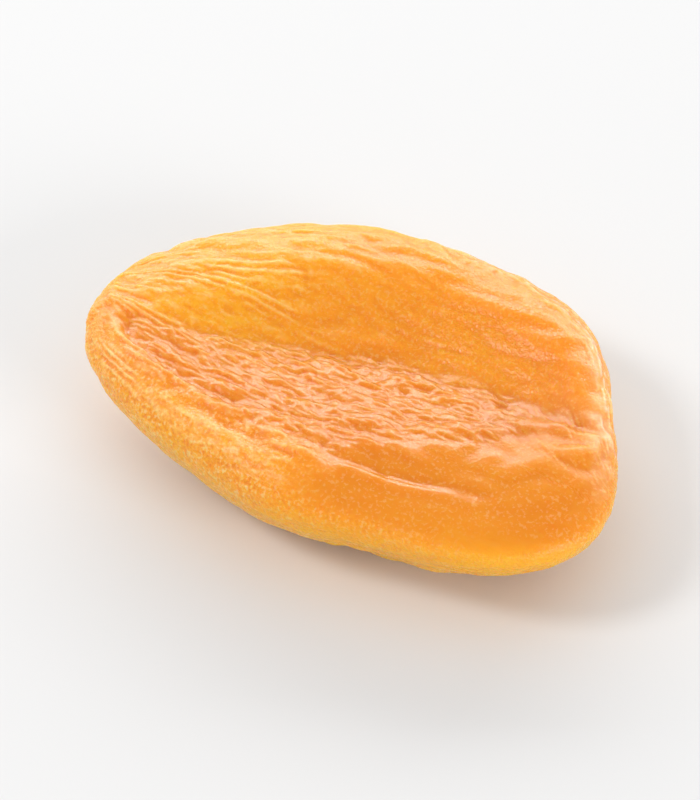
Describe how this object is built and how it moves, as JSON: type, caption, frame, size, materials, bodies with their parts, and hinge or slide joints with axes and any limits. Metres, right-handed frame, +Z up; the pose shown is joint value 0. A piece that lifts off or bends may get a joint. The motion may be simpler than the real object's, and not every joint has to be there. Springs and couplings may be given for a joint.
{
  "type": "dried apricot",
  "caption": "Whole pitted dried apricot, flattened oval with a rolled edge, a shallow wrinkled dish above and a convex netted skin below.",
  "frame": {"origin": "middle of the fruit's box in plan, on the surface that the fruit lies on", "axes": "+X along the fruit from the narrow tip to the broad end, +Z up out of the dish"},
  "size_m": [0.0512, 0.0356, 0.011],
  "materials": {
    "flesh": "translucent orange flesh and skin, softly glossy with sugar, paler yellow at the thin rim"
  },
  "bodies": {
    "root": {"apricot": "flesh"}
  },
  "joints": []
}
